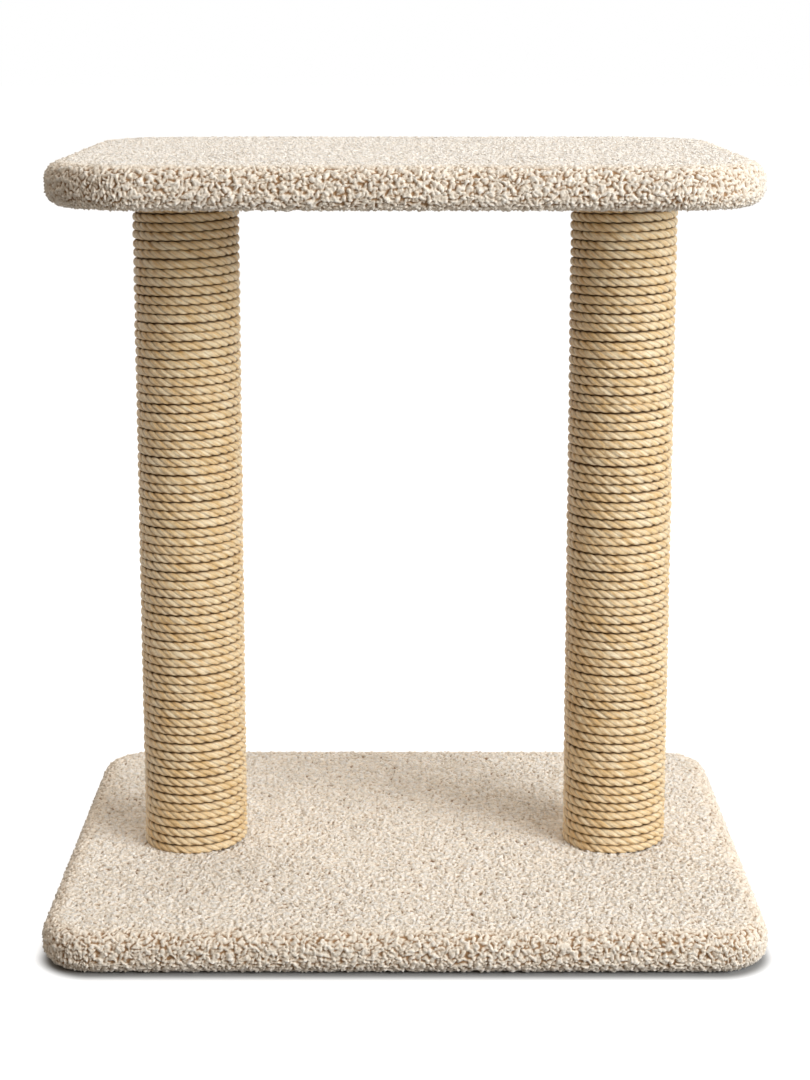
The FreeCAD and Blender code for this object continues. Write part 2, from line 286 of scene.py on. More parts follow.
def carpet_finish(settings):
    """Cream looped carpet: a painted highlight on the tips, painted shade in the gaps that is darkest
    at the backing, and yarns of slightly different shade.
    """
    finish = Finish("looped carpet")
    place = finish.place()
    height = finish.attribute("loop_height")
    shade = finish.attribute("loop_shade")
    fibre = finish.noise(place, 1100.0, 3.0)
    patch = finish.noise(place, 28.0, 2.0)
    lift = height + 0.35 * (fibre - 0.5)
    # Painted shade and highlight by loop height: darker deep between the loops, paler on the tips,
    # with less of the pale tips over an edge.
    colour = finish.mix(lift.between(0.05, 0.50), settings.gap_shade_colour, settings.yarn_colour)
    over_edge = finish.attribute("over_edge")
    colour = finish.mix(lift.between(0.40, 0.95) * (1.0 - 0.3 * over_edge),
                        colour, settings.tip_highlight_colour)
    tone = 0.84 + 0.22 * shade + 0.10 * (patch - 0.5)
    colour = finish.toned(colour, tone)
    curl = finish.noise(place, 620.0, 2.0)
    return finish.surface(
        colour, 0.92 - 0.06 * fibre, (curl + 0.4 * fibre) * (1.0 - 0.5 * over_edge), 0.0011,
        {"Specular IOR Level": 0.15, "Sheen Weight": 0.25, "Sheen Roughness": 0.5})


def rope_finish(settings):
    """Straw-coloured sisal: fibres along the strands, with painted shade between the strands and
    between the turns.
    """
    finish = Finish("sisal rope")
    along = finish.node("UVMap", {"uv_map": "strands"})
    crest = finish.attribute("strand_crest")
    streak = finish.noise(finish.stretched(along, (150.0, 24.0, 1.0)), 1.0, 3.0)
    fine = finish.noise(finish.stretched(along, (480.0, 90.0, 1.0)), 1.0, 2.0)
    drift = finish.noise(finish.stretched(along, (26.0, 3.0, 1.0)), 1.0, 2.0)
    colour = finish.mix((streak + 0.8 * (drift - 0.5)).between(0.28, 0.72),
                        settings.colour, settings.pale_colour)
    tone = 0.38 + 0.90 * fine + 0.38 * drift
    colour = finish.toned(colour, tone)
    # Painted shade: darker in the grooves between the strands, and where the rope faces up, down or
    # in, between the turns and against the post.
    depth = (crest + 0.30 * (fine - 0.5)).between(-0.1, 0.75)
    turn_gap_shade = finish.attribute("turn_crest").between(0.10, 0.72)
    colour = finish.mix((0.55 + 0.45 * depth) * (0.3 + 0.7 * turn_gap_shade),
                        settings.gap_shade_colour, colour)
    return finish.surface(
        colour, 0.47 - 0.14 * streak, streak + fine, 0.00045,
        {"Specular IOR Level": 1.0})


def board_finish(settings):
    """Particle board: pale chips in a brown binder."""
    finish = Finish("particle board")
    place = finish.place()
    chips = finish.node("TexVoronoi", None, {
        "Vector": finish.stretched(place, (1.0, 0.55, 1.0)), "Scale": 260.0}, "Distance")
    kinds = finish.noise(place, 130.0, 4.0)
    dark = tuple(0.55 * part for part in settings.board_colour)
    pale = tuple(min(1.0, 1.35 * part) for part in settings.board_colour)
    colour = finish.mix(kinds.between(0.35, 0.65), settings.board_colour, pale)
    colour = finish.mix(chips.between(0.35, 0.75), colour, dark)
    return finish.surface(colour, 0.80 - 0.15 * kinds, chips, -0.0004)


def cardboard_finish(settings):
    """Kraft cardboard with fine flecks and the turns of its paper."""
    finish = Finish("kraft cardboard")
    place = finish.place()
    flecks = finish.noise(place, 900.0, 3.0)
    turns = finish.noise(finish.stretched(place, (14.0, 14.0, 60.0)), 1.0, 2.0)
    dark = tuple(0.72 * part for part in settings.cardboard_colour)
    colour = finish.mix((flecks + 0.6 * (turns - 0.5)).between(0.3, 0.7),
                        dark, settings.cardboard_colour)
    return finish.surface(colour, 0.88 - 0.10 * flecks, flecks, 0.0002)


def wood_finish(settings):
    """Softwood with growth rings."""
    finish = Finish("softwood plug")
    place = finish.place()
    rings = finish.node("TexWave", {"wave_type": "RINGS", "rings_direction": "Y"}, {
        "Vector": place, "Scale": 55.0, "Distortion": 3.0, "Detail": 2.0,
        "Detail Scale": 1.5}, "Fac")
    grain = finish.noise(finish.stretched(place, (420.0, 60.0, 420.0)), 1.0, 2.0)
    dark = tuple(0.62 * part for part in settings.wood_colour)
    colour = finish.mix((rings * 0.7 + grain * 0.4).between(0.2, 0.95),
                        settings.wood_colour, dark)
    return finish.surface(colour, 0.68 - 0.12 * grain, rings, 0.0002)


def steel_finish(name, metal_colour, spangle):
    """Plated steel, a little cloudy and scuffed."""
    finish = Finish(name)
    place = finish.place()
    cloud = finish.noise(place, spangle, 3.0)
    scuff = finish.noise(finish.stretched(place, (900.0, 900.0, 260.0)), 1.0, 2.0)
    dark = tuple(0.78 * part for part in metal_colour)
    colour = finish.mix(cloud.between(0.3, 0.7), dark, metal_colour)
    return finish.surface(colour, 0.26 + 0.22 * cloud + 0.10 * scuff, scuff, 0.00008,
                          {"Metallic": 1.0})


def smooth_step(values, low, high):
    share = np.clip((values - low) / (high - low), 0.0, 1.0)
    return share * share * (3.0 - 2.0 * share)


def wave_noise(places, wavelength, seed, waves=14):
    """Smooth noise of about unit spread on a plane, from a few seeded waves."""
    rng = np.random.default_rng(seed)
    total = np.zeros(len(places))
    for turn, stretch, phase in rng.random((waves, 3)):
        angle = 2.0 * math.pi * turn
        number = 2.0 * math.pi / (wavelength * (0.7 + 0.9 * stretch))
        along = places[:, 0] * math.cos(angle) + places[:, 1] * math.sin(angle)
        total += np.sin(along * number + 2.0 * math.pi * phase)
    return total * math.sqrt(2.0 / waves)


def loop_domes(places, spacing, seed, longest, fall):
    """Height from 0 to 1, shade and lean of close-set loops at places on a flat sheet.

    A loop is up to longest times as long as wide, and fall bends its sides: 0.5 is a dome.
    """
    rng = np.random.default_rng(seed)
    warp = [wave_noise(places, 3.0 * spacing, seed + step) for step in (1, 2)]
    spots = places / spacing + 0.22 * np.stack(warp, axis=1)
    cell = np.floor(spots).astype(int)
    corner = cell.min(axis=0) - 2
    shape = tuple(cell.max(axis=0) - corner + 3)
    centre = rng.uniform(0.08, 0.92, shape + (2,))
    turn = rng.uniform(0.0, math.pi, shape)
    stretch = rng.uniform(1.0, longest, shape)
    reach = rng.uniform(0.52, 0.82, shape)
    rise = rng.uniform(0.55, 1.0, shape)
    shade = rng.random(shape)
    lean = rng.normal(0.0, 0.6, shape + (2,))
    best = np.zeros(len(places))
    best_shade = np.full(len(places), 0.5)
    best_lean = np.zeros((len(places), 2))
    for step_x in range(-2, 3):
        for step_y in range(-2, 3):
            near = cell + (step_x, step_y)
            i, j = (near - corner).T
            away = spots - near - centre[i, j]
            cosine, sine = np.cos(turn[i, j]), np.sin(turn[i, j])
            long = (away[:, 0] * cosine + away[:, 1] * sine) / stretch[i, j]
            wide = (away[:, 1] * cosine - away[:, 0] * sine) * np.sqrt(stretch[i, j])
            square = (long ** 2 + wide ** 2) / reach[i, j] ** 2
            dome = rise[i, j] * np.clip(1.0 - square, 0.0, 1.0) ** fall
            higher = dome > best
            best = np.where(higher, dome, best)
            best_shade = np.where(higher, shade[i, j], best_shade)
            best_lean[higher] = lean[i[higher], j[higher]]
    return best, best_shade, best_lean * best[:, None]


def loop_pile(places, settings, seed, over_edge):
    """Height from 0 to 1, shade and lean of a looped pile at places on a flat sheet.

    Where the sheet goes over an edge, the pile opens and its loops stand apart as knobs.
    """
    height, shade, lean = loop_domes(places, settings.loop_spacing, seed, 1.5, 0.5)
    edge = np.flatnonzero(over_edge > 0.0)
    share = over_edge[edge]
    knobs, knob_shade, knob_lean = loop_domes(
        places[edge], settings.knob_spacing, seed + 10, 1.15, 0.8)
    height[edge] += 0.95 * share * (knobs - height[edge])
    shade[edge] = np.where(share > 0.5, knob_shade, shade[edge])
    lean[edge] += share[:, None] * (0.2 * knob_lean - lean[edge])
    clump = 0.5 + 0.5 * np.tanh(1.1 * wave_noise(places, settings.clump_spacing, seed + 3))
    height *= 1.0 - (0.14 + 0.24 * over_edge) * (1.0 - clump)
    return height, shade, lean


class CarpetSheet:
    """A flat sheet of carpet, wrapped over the edges of a rounded rectangle.

    The face of the sheet looks up, or down where facing is -1. Over its edge it follows a
    quarter round, a straight wall and, where it is turned under, a second quarter round and
    a flat strip.
    """

    def __init__(self, low, high, corner, edge, wall, under, facing):
        self.middle = np.array([(low[0] + high[0]) / 2, (low[1] + high[1]) / 2])
        self.half = np.array([(high[0] - low[0]) / 2, (high[1] - low[1]) / 2]) - edge
        self.face = high[2] if facing > 0 else low[2]
        self.corner = corner - edge
        self.edge = edge
        self.facing = facing
        self.round_end = edge * math.pi / 2
        self.wall_end = self.round_end + wall
        self.under = under
        self.under_start = self.wall_end + (self.round_end if under else 0.0)
        self.reach = self.under_start + under
        self.wall = wall

    def lines(self, axis, step):
        """Coordinates of the mesh's lines along one axis."""
        outer = self.half[axis] + self.reach
        count = 2 * math.ceil(outer / step)
        return np.linspace(-outer, outer, count + 1)

    def nearest(self, places):
        """Distance past the flat face, nearest point of the face's outline, and way out."""
        signs = np.where(places < 0.0, -1.0, 1.0)
        past = np.abs(places) - (self.half - self.corner)
        outside = np.maximum(past, 0.0)
        length = np.hypot(outside[:, 0], outside[:, 1])
        distance = length + np.minimum(past.max(axis=1), 0.0) - self.corner
        way = np.where(length[:, None] > 1e-9, outside / np.maximum(length, 1e-9)[:, None],
                       np.array([1.0, 0.0]))
        way = way * signs
        return distance, places - way * distance[:, None], way

    def profile(self, run):
        """Way out from the outline, drop from the face, and normal, at a run past the outline."""
        first = np.clip(run, 0.0, self.round_end) / self.edge
        second = np.clip(run - self.wall_end, 0.0, self.under_start - self.wall_end) / self.edge
        straight = np.clip(run - self.round_end, 0.0, self.wall)
        flat = np.clip(run - self.under_start, 0.0, self.under)
        out = self.edge * (np.sin(first) + np.cos(second) - 1.0) - flat
        drop = self.edge * (1.0 - np.cos(first) + np.sin(second)) + straight
        outward = np.sin(first) * np.cos(second)
        upward = np.cos(first) - np.sin(second)
        return out, drop, outward, upward

    def points(self, places, lift):
        """Points in space of places on the sheet, lifted off its surface."""
        distance, outline, way = self.nearest(places)
        out, drop, outward, upward = self.profile(np.minimum(distance, self.reach))
        flat = np.where((distance > 0.0)[:, None], outline + way * out[:, None], places)
        flat = flat + np.where((distance > 0.0)[:, None], way * (outward * lift)[:, None], 0.0)
        height = self.face + self.facing * (upward * lift - drop)
        return np.column_stack([flat + self.middle, height])

    def ring(self, places, offset, height):
        """Points at an even offset from the face's outline, at one height."""
        _, outline, way = self.nearest(places)
        flat = outline + way * offset + self.middle
        return np.column_stack([flat, np.full(len(places), height)])


def hem_loop(quads, count):
    """Indices along the one open border of a sheet of quads, in the direction of its faces."""
    starts = quads.ravel()
    ends = np.roll(quads, -1, axis=1).ravel()
    forward = starts.astype(np.int64) * count + ends
    backward = ends.astype(np.int64) * count + starts
    border = ~np.isin(forward, backward)
    following = dict(zip(starts[border].tolist(), ends[border].tolist()))
    loop = [next(iter(following))]
    while following[loop[-1]] != loop[0]:
        loop.append(following[loop[-1]])
    if len(loop) != len(following):
        raise RuntimeError("the sheet has more than one border")
    return np.array(loop)


def mesh_object(name, points, polygons, smooth, uv_maps, attributes):
    """New object from arrays of points, polygons of several sizes, and what lies on them."""
    mesh = bpy.data.meshes.new(name)
    sizes = np.concatenate([np.full(len(block), block.shape[1]) for block in polygons])
    corners = np.concatenate([block.ravel() for block in polygons])
    mesh.vertices.add(len(points))
    mesh.vertices.foreach_set("co", np.asarray(points, np.float32).ravel())
    mesh.loops.add(len(corners))
    mesh.loops.foreach_set("vertex_index", corners.astype(np.int32))
    mesh.polygons.add(len(sizes))
    starts = np.concatenate([[0], np.cumsum(sizes)[:-1]])
    mesh.polygons.foreach_set("loop_start", starts.astype(np.int32))
    mesh.update(calc_edges=True)
    mesh.polygons.foreach_set("use_smooth", smooth)
    for map_name, places in uv_maps.items():
        layer = mesh.uv_layers.new(name=map_name)
        layer.data.foreach_set("uv", np.asarray(places, np.float32).ravel())
    for attribute_name, values in attributes.items():
        attribute = mesh.attributes.new(attribute_name, "FLOAT", "POINT")
        attribute.data.foreach_set("value", np.asarray(values, np.float32))
    if mesh.validate():
        raise RuntimeError(name + " has faces that Blender had to mend")
    piece = bpy.data.objects.new(name, mesh)
    bpy.context.scene.collection.objects.link(piece)
    return piece


def staple_spots(node):
    """Points under the crowns of a group of staples."""
    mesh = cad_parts[node].data
    spots = np.array([corner.co[:] for corner in mesh.vertices])
    lowest = spots[:, 2].min()
    spots = np.unique(np.round(spots[spots[:, 2] < lowest + 0.0002, :2], 5), axis=0)
    return spots


def press_under(sheet, places, lift, staples):
    """Presses the turned-under pile where staples hold it, and opens a slit at each corner."""
    dimple_depth, dimple_inner, dimple_outer = 0.0032, 0.0016, 0.0040
    slit_depth, slit_inner, slit_outer = 0.0040, 0.0006, 0.0014
    strip_margin = 0.002
    distance, _, way = sheet.nearest(places)
    strip = np.flatnonzero(distance > sheet.under_start - strip_margin)
    points = sheet.points(places[strip], np.zeros(len(strip)))[:, :2]
    if staples is not None:
        nearest = np.full(len(strip), np.inf)
        for spot in staples:
            nearest = np.minimum(nearest, np.hypot(*(points - spot).T))
        lift[strip] -= dimple_depth * (1.0 - smooth_step(nearest, dimple_inner, dimple_outer))
    local = np.abs(points - sheet.middle) - (sheet.half - sheet.corner)
    diagonal = np.abs(local[:, 0] - local[:, 1]) / math.sqrt(2.0)
    corner = (np.abs(way[strip]).min(axis=1) > 0.2) & (distance[strip] > sheet.under_start)
    slit = np.where(corner, 1.0 - smooth_step(diagonal, slit_inner, slit_outer), 0.0)
    lift[strip] -= slit_depth * slit


def carpet_piece(name, sheet, settings, seed, step, seats=(), staples=None, floor=None, inside=()):
    """Closed carpet: loops on the outside, and rings inside that end in one flat face."""
    edge_blend, hem_width, hem_depth = 0.006, 0.003, 0.0012
    seat_inner, seat_outer = 0.0006, 0.0012
    lines = [sheet.lines(axis, step) for axis in (0, 1)]
    grid = np.stack(np.meshgrid(*lines, indexing="ij"), axis=-1)
    rows = grid.shape[1]
    places = grid.reshape(-1, 2)
    distance = sheet.nearest(places)[0]
    first = (np.arange(grid.shape[0] - 1)[:, None] * rows + np.arange(rows - 1)).ravel()
    quads = np.column_stack([first, first + rows, first + rows + 1, first + 1])
    quads = quads[(distance[quads] < sheet.reach - 0.1 * step).any(axis=1)]
    used, quads = np.unique(quads, return_inverse=True)
    quads = quads.reshape(-1, 4)
    places = places[used]
    distance = distance[used]

    over_edge = smooth_step(distance, -edge_blend, edge_blend)
    height, shade, lean = loop_pile(places, settings, seed, over_edge)
    hem = smooth_step(sheet.reach - distance, 0.0, hem_width)
    lift = settings.tip_rise - settings.loop_depth * (1.0 - height)
    lift = lift * hem - hem_depth * (1.0 - hem)
    if sheet.under:
        press_under(sheet, places, lift, staples)
    moved = places + settings.loop_lean * lean * hem[:, None]
    for spot, radius, depth in seats:
        away = np.hypot(*(places + sheet.middle - spot).T)
        pressed = 1.0 - smooth_step(away, radius - seat_inner, radius + seat_outer)
        lift = lift * (1.0 - pressed) - depth * pressed
        moved = moved + (places - moved) * pressed[:, None]
        # Painted shade where a post stands on the carpet: the lowered loop height darkens the colour
        # and does not move the loops.
        height = height * (1.0 - 0.8 * pressed)
    moved = np.where((distance < sheet.reach)[:, None], moved, places)
    points = sheet.points(moved, lift)
    if floor is not None:
        points[:, 2] = np.maximum(points[:, 2], floor)

    loop = hem_loop(quads, len(points))
    if sheet.facing < 0:
        quads = quads[:, ::-1]
        loop = loop[::-1]
    rings = [loop]
    blocks = [quads]
    total = len(points)
    stacked = [points]
    for offset, level in inside:
        ring = np.arange(total, total + len(loop))
        stacked.append(sheet.ring(places[loop], offset, level))
        total += len(loop)
        last = rings[-1]
        blocks.append(np.column_stack([np.roll(last, -1), last, ring, np.roll(ring, -1)]))
        rings.append(ring)
    blocks.append(rings[-1][::-1][None, :])
    points = np.concatenate(stacked)
    counts = [len(block) for block in blocks]
    smooth = np.arange(sum(counts)) < counts[0]

    extent = np.array([lines[0][-1], lines[1][-1]])
    spread = (places / extent + 1.0) / 2.0
    corner_uv = 0.004 + 0.008 * (np.arange(len(loop)) / len(loop))
    uv = [spread[quads.ravel()]]
    for level, block in enumerate(blocks[1:]):
        strip = corner_uv[np.arange(block.size) % len(loop)]
        uv.append(np.column_stack([strip, np.full(block.size, 0.004 + 0.002 * level)]))
    extra = len(points) - len(height)
    attributes = {
        "loop_height": np.concatenate([height, np.full(extra, 0.1)]),
        "loop_shade": np.concatenate([shade, np.full(extra, 0.5)]),
        "over_edge": np.concatenate([over_edge, np.full(extra, 1.0)]),
    }
    return mesh_object(name, points, blocks, smooth, {"OFBake": np.concatenate(uv)}, attributes)


def dress(piece, material, slot, *nodes):
    """Gives a piece its material and its body, and hides the solids that it stands for."""
    piece.data.materials.append(material)
    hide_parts(*nodes)
    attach(piece, "root")


def post_spots():
    """Axis of each post, in plan."""
    spots = []
    for side in SIDES:
        low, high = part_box(side + "_post_tube")
        spots.append(np.array([(low[0] + high[0]) / 2, (low[1] + high[1]) / 2]))
    return spots


def post_seats(face, end):
    """Places where the posts press the carpet from its face down to a post's end."""
    slack, press = 0.0010, 0.0002
    low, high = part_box("left_post_tube")
    radius = (high[0] - low[0]) / 2 + slack
    return [(spot, radius, abs(face - end) + press) for spot in post_spots()]


def wrapped_deck(name, carpet_node, board_node, corner, seed, seats, staples, floor):
    """Carpet of one board, with the board's room left free inside it."""
    settings = bpy.context.scene.carpet_settings
    low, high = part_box(carpet_node)
    board_low, board_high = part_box(board_node)
    edge = settings.edge_radius
    sheet = CarpetSheet(low, high, corner, edge, high[2] - low[2] - 2 * edge,
                        settings.turned_under, 1)
    gap = 0.0001
    beside = edge - settings.thickness + gap
    inside = [(-settings.turned_under, board_low[2] - gap), (beside, board_low[2] - gap),
              (beside, board_high[2] + gap)]
    return carpet_piece(name, sheet, settings, seed, settings.step, seats, staples, floor, inside)


def carpet_material():
    made = bpy.data.materials.get("looped carpet")
    return made or carpet_finish(bpy.context.scene.carpet_settings)


class SCRATCHING_POST_OT_base_carpet(bpy.types.Operator):
    """Wrap the base's board in looped carpet"""

    bl_idname = "scratching_post.base_carpet"
    bl_label = "Base carpet"

    def execute(self, context):
        settings = context.scene.carpet_settings
        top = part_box("base_carpet")[1][2]
        seats = post_seats(top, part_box("left_post_tube")[0][2])
        floor = 0.0002
        piece = wrapped_deck("base_pile", "base_carpet", "base_board", settings.base_corner,
                             settings.seed, seats, staple_spots("base_staples"), floor)
        dress(piece, carpet_material(), "carpet", "base_carpet")
        return {"FINISHED"}


class SCRATCHING_POST_OT_platform_carpet(bpy.types.Operator):
    """Wrap the platform's board in looped carpet"""

    bl_idname = "scratching_post.platform_carpet"
    bl_label = "Platform carpet"

    def execute(self, context):
        settings = context.scene.carpet_settings
        piece = wrapped_deck("platform_pile", "platform_carpet", "platform_board",
                             settings.platform_corner, settings.seed + 10, (),
                             staple_spots("platform_staples"), None)
        dress(piece, carpet_material(), "carpet", "platform_carpet")
        return {"FINISHED"}


class SCRATCHING_POST_OT_platform_lining(bpy.types.Operator):
    """Fill the underside of the platform with a panel of the same carpet"""

    bl_idname = "scratching_post.platform_lining"
    bl_label = "Platform lining"

    def execute(self, context):
        settings = context.scene.carpet_settings
        low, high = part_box("platform_lining")
        edge = settings.lining_edge
        sheet = CarpetSheet(low, high, settings.lining_corner, edge,
                            high[2] - low[2] - edge - 0.0001, 0.0, -1)
        seats = post_seats(low[2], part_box("left_post_tube")[1][2])
        piece = carpet_piece("platform_lining_pile", sheet, settings, settings.seed + 20,
                             2.0 * settings.step, seats)
        dress(piece, carpet_material(), "carpet", "platform_lining")
        return {"FINISHED"}


def strand_grooves(count, seed):
    """Depth of the grooves of a three-strand rope, six columns to a strand, ring by ring."""
    share = np.array((0.0, 0.12, 0.46, 1.0, 0.46, 0.12))
    strength = [1.0 + 0.22 * smooth_drift(count, 24, seed + strand) for strand in range(3)]
    return np.concatenate([np.outer(np.clip(part, 0.4, 1.4), share) for part in strength], axis=1)


def smooth_drift(count, span, seed):
    """Seeded wander along a line, smooth over a span of points."""
    rng = np.random.default_rng(seed)
    knots = rng.normal(0.0, 1.0, count // span + 3)
    return np.interp(np.arange(count) / span, np.arange(len(knots)), knots)


def winding_points(settings, low, high, spot, seed):
    """Rings of a laid rope round a post, from its lower end to its upper one.

    Gives the points and the run along the rope, ring by ring, then for each point how far it
    stands on a strand's crest and how far it faces out, and the number of rings in a turn.
    """
    rings_per_turn = 128
    radius = settings.winding_radius
    around = 2.0 * math.pi * radius
    tip_turn = settings.end_length / around
    solid_radius = (high[0] - low[0]) / 2 - radius
    rise = high[2] - low[2] - 2.0 * solid_radius
    pitch = rise / (settings.turns + 2.0 * tip_turn)
    turn = np.arange(settings.turns * rings_per_turn + 1) / rings_per_turn
    angle = math.pi / 2 + 2.0 * math.pi * turn
    level = low[2] + solid_radius + pitch * tip_turn + pitch * turn
    outward = np.column_stack([np.cos(angle), np.sin(angle), np.zeros(len(angle))])
    along = np.column_stack([-around * np.sin(angle), around * np.cos(angle),
                             np.full(len(angle), pitch)])
    along /= np.linalg.norm(along, axis=1)[:, None]
    centre = np.column_stack([spot[0] + radius * np.cos(angle),
                              spot[1] + radius * np.sin(angle), level])
    run = turn * math.hypot(around, pitch)
    tips = np.array([1.0, 0.5]) * settings.end_length
    centre = np.concatenate([centre[0] - np.outer(tips, along[0]), centre,
                             centre[-1] + np.outer(tips[::-1], along[-1])])
    run = np.concatenate([run[0] - tips, run, run[-1] + tips[::-1]])
    outward = np.concatenate([outward[:1], outward[:1], outward, outward[-1:], outward[-1:]])
    along = np.concatenate([along[:1], along[:1], along, along[-1:], along[-1:]])
    upward = np.cross(outward, along)

    count = len(run)
    grooves = strand_grooves(count, seed + 4)
    swell = 1.0 + 0.022 * smooth_drift(count, 9, seed)
    stray = settings.wander * smooth_drift(count, 40, seed + 1)
    lift = 0.6 * settings.wander * smooth_drift(count, 25, seed + 2)
    centre = centre + upward * stray[:, None] + outward * lift[:, None]
    twist = 0.10 * smooth_drift(count, 60, seed + 3) - 2.0 * math.pi * run / settings.lay
    columns = grooves.shape[1]
    phase = twist[:, None] + 2.0 * math.pi * np.arange(columns) / columns
    size = settings.diameter / 2 * swell[:, None] * (1.0 - 0.28 * grooves)
    across, upright = np.cos(phase), np.sin(phase)
    pressed = (np.abs(across) ** 2.4 + np.abs(upright) ** 2.4) ** (-1.0 / 2.4)
    across, upright = pressed * across, pressed * upright
    points = (centre[:, None, :]
              + (size * across)[:, :, None] * outward[:, None, :]
              + (size * upright)[:, :, None] * upward[:, None, :])
    return points, run, 1.0 - grooves.ravel(), across.ravel(), rings_per_turn


def rope_piece(name, settings, low, high, spot, seed):
    """One unbroken rope round a post, with its strands, closed at both ends."""
    points, run, crests, facing, rings_per_turn = winding_points(
        settings, low, high, spot, seed)
    rings, columns = points.shape[:2]
    ring = np.arange(rings - 1)[:, None] * columns
    column = np.arange(columns)
    following = (column + 1) % columns
    sides = np.stack([ring + column, ring + columns + column, ring + columns + following,
                      ring + following], axis=-1).reshape(-1, 4)
    ends = np.array([column, column[::-1] + (rings - 1) * columns])

    rows_per_page, pages = 25, 3
    turn = np.clip((np.arange(rings - 1) - 2) // rings_per_turn, 0, settings.turns - 1)
    start = np.where(turn == 0, 0, turn * rings_per_turn + 2)
    length = rings_per_turn + 4.0
    begin = (np.arange(rings - 1) - start)[:, None] / length
    finish = begin + 1.0 / length
    bottom = np.broadcast_to(column / columns, (rings - 1, columns))
    top = bottom + 1.0 / columns
    begin = np.broadcast_to(begin, bottom.shape)
    finish = np.broadcast_to(finish, bottom.shape)
    page = (turn // rows_per_page)[:, None]
    row = (turn % rows_per_page)[:, None]
    across = np.stack([begin, finish, finish, begin], axis=-1)
    upright = np.stack([bottom, bottom, top, top], axis=-1)
    bake = np.stack([(page[..., None] + 0.01 + 0.98 * across) / pages,
                     (row[..., None] + 0.05 + 0.90 * upright) / rows_per_page], axis=-1)
    lengths = np.stack([run[:-1], run[1:], run[1:], run[:-1]], axis=-1)
    lengths = np.broadcast_to(lengths[:, None, :], upright.shape)
    strands = np.stack([lengths, upright], axis=-1)
    end_bake = np.full((2 * columns, 2), 0.001)
    end_strands = np.tile(np.column_stack([np.zeros(columns), column / columns]), (2, 1))
    uv_maps = {
        "OFBake": np.concatenate([bake.reshape(-1, 2), end_bake]),
        "strands": np.concatenate([strands.reshape(-1, 2), end_strands]),
    }
    smooth = np.arange(len(sides) + 2) < len(sides)
    return mesh_object(name, points.reshape(-1, 3), [sides, ends], smooth, uv_maps,
                       {"strand_crest": crests, "turn_crest": facing})


class SCRATCHING_POST_OT_ropes(bpy.types.Operator):
    """Wind both posts with laid rope"""

    bl_idname = "scratching_post.ropes"
    bl_label = "Ropes"

    def execute(self, context):
        settings = context.scene.rope_settings
        material = rope_finish(settings)
        for index, (side, spot) in enumerate(zip(SIDES, post_spots())):
            low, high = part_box(side + "_post_rope")
            piece = rope_piece(side + "_rope", settings, low, high, spot,
                               settings.seed + 10 * index)
            dress(piece, material, "rope", side + "_post_rope")
        return {"FINISHED"}


class SCRATCHING_POST_OT_core(bpy.types.Operator):
    """Finish the boards, tubes, plugs and fasteners"""

    bl_idname = "scratching_post.core"
    bl_label = "Boards, tubes and fasteners"

    def execute(self, context):
        settings = context.scene.core_settings
        zinc = steel_finish("zinc plated steel", settings.zinc_colour, 140.0)
        wire = steel_finish("staple wire", settings.staple_colour, 420.0)
        board = board_finish(settings)
        tube = cardboard_finish(settings)
        wood = wood_finish(settings)
        finishes = {"base_board": board, "platform_board": board,
                    "base_staples": wire, "platform_staples": wire}
        for side in SIDES:
            finishes[side + "_post_tube"] = tube
            for end in ("bottom", "top"):
                finishes[side + "_post_" + end + "_plug"] = wood
                finishes[side + "_post_" + end + "_tee_nut"] = zinc
            for piece in ("platform_tee_nut", "platform_stud", "base_bolt", "base_washer"):
                finishes[side + "_" + piece] = zinc
            for piece in ("post_rope_brads", "post_plug_pins"):
                finishes[side + "_" + piece] = wire
        for node, material in finishes.items():
            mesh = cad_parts[node].data
            mesh.materials.clear()
            mesh.materials.append(material)
        return {"FINISHED"}


def floor_finish(settings, half, corner):
    """White floor with a painted contact shadow: its glow to the camera fades out near the base,
    leaving only the floor's own shading there.
    """
    finish = Finish("white floor")
    place = finish.place()
    parts = [finish.node("SeparateXYZ", None, {"Vector": place}, axis) for axis in ("X", "Y")]
    past = [part.maths("ABSOLUTE", part) - (size - corner) for part, size in zip(parts, half)]
    outside = [part.maths("MAXIMUM", part, 0.0) for part in past]
    square = outside[0] * outside[0] + outside[1] * outside[1]
    distance = square.maths("SQRT", square) - corner
    glow = finish.node("Emission", None, {"Color": (1.0, 1.0, 1.0), "Strength": settings.floor_glow})
    plain = finish.node("BsdfDiffuse", None, {"Color": tuple(settings.floor_colour)})
    both = finish.node("AddShader", None, {0: plain, 1: glow})
    # Painted contact shadow: near the base's outline the floor shows only its diffuse shading, without
    # the glow.
    share = finish.seen() * distance.between(-0.75 * settings.fade, settings.fade)
    shown = finish.node("MixShader", None, {0: share, 1: plain, 2: both})
    finish.node("OutputMaterial", None, {"Surface": shown})
    return finish.owner


def area_lamp(settings, kind):
    """Soft lamp that faces the middle of the posts."""
    power, colour, width, height, azimuth, elevation = (
        getattr(settings, kind + "_" + part)
        for part in ("power", "colour", "width", "height", "azimuth", "elevation"))
    lamp = bpy.data.lights.new(kind + " light", "AREA")
    lamp.shape = "RECTANGLE"
    lamp.size = width
    lamp.size_y = height
    lamp.energy = power
    lamp.color = colour
    item = bpy.data.objects.new(kind + " light", lamp)
    low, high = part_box("left_post_tube")
    level = settings.lamp_distance * math.cos(elevation)
    item.location = (level * math.sin(azimuth), -level * math.cos(azimuth),
                     (low[2] + high[2]) / 2 + settings.lamp_distance * math.sin(elevation))
    item.rotation_euler = (math.pi / 2 - elevation, 0.0, azimuth)
    return item


